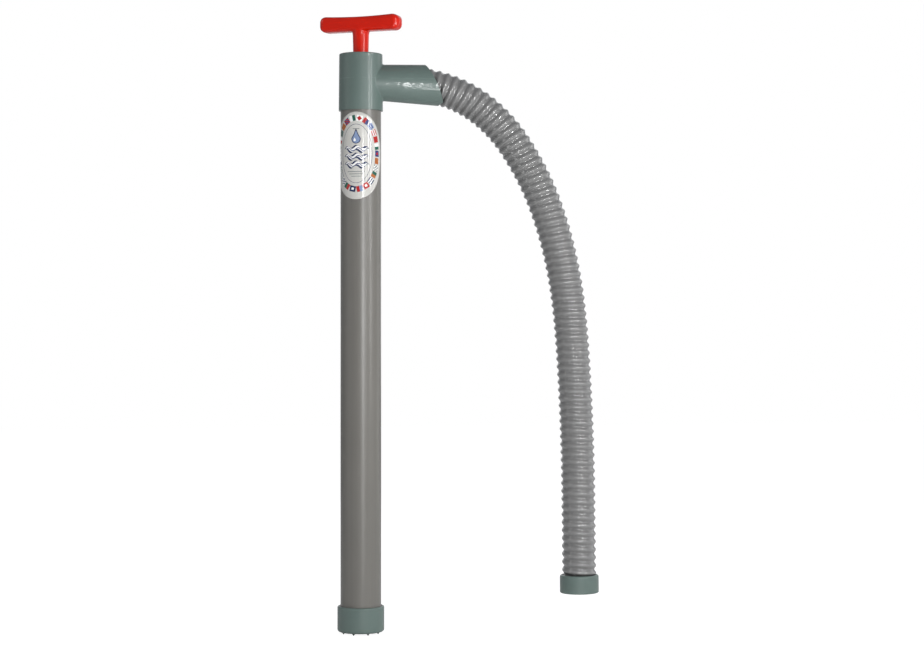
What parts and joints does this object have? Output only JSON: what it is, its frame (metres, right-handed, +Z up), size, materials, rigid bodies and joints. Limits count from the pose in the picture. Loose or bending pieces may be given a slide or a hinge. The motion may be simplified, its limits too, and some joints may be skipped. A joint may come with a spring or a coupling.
{
  "type": "hand bilge pump",
  "caption": "Hand bilge pump: straight barrel with a valved foot, tee-shaped head with a side spout, red T-handle on a sliding rod, and a corrugated discharge hose.",
  "frame": {"origin": "on the barrel's axis, in the plane of the foot nubs' tips", "axes": "+Z up the barrel towards the handle, +X towards the spout, the label faces -Y"},
  "size_m": [0.2944, 0.057, 0.6405],
  "materials": {
    "head_plastic": "satin moulded plastic, grey-green",
    "barrel_plastic": "satin extruded pipe, warm grey",
    "hose_vinyl": "satin corrugated vinyl, neutral grey",
    "handle_red": "glossy moulded plastic, red",
    "label_vinyl": "printed vinyl, off-white with coloured marks",
    "rod_aluminium": "drawn and anodised",
    "guide_acetal": "natural white acetal",
    "black_rubber": "moulded rubber",
    "stainless_steel": "turned and stamped steel"
  },
  "bodies": {
    "barrel": {"barrel_tube": "barrel_plastic", "discharge_head": "head_plastic", "rod_guide_bush": "guide_acetal", "rod_seal": "black_rubber", "foot_cap": "head_plastic", "intake_strainer": "head_plastic", "foot_valve_seat": "head_plastic", "foot_valve_stud": "guide_acetal", "hose": "hose_vinyl", "hose_cuff": "head_plastic", "barrel_label": "label_vinyl"},
    "piston": {"piston_body": "guide_acetal", "piston_cup": "black_rubber", "valve_spacer": "guide_acetal", "valve_stop_washer": "stainless_steel"},
    "handle": {"t_handle": "handle_red", "piston_rod": "rod_aluminium", "piston_washer": "stainless_steel", "piston_nut": "stainless_steel"},
    "foot_valve": {"foot_valve_flap": "black_rubber"},
    "piston_valve": {"piston_valve": "black_rubber"}
  },
  "joints": [
    {"name": "pump_stroke", "type": "slide", "parent": "barrel", "child": "piston", "axis": [0, 0, 1], "range_m": [0, 0.5]},
    {"name": "handle_turn", "type": "hinge", "parent": "piston", "child": "handle", "pos_m": [0, 0, 0.3], "axis": [0, 0, 1], "continuous": true},
    {"name": "foot_valve_lift", "type": "slide", "parent": "barrel", "child": "foot_valve", "axis": [0, 0, 1], "range_m": [0, 0.0039]},
    {"name": "piston_valve_lift", "type": "slide", "parent": "piston", "child": "piston_valve", "axis": [0, 0, 1], "range_m": [0, 0.0029]}
  ]
}
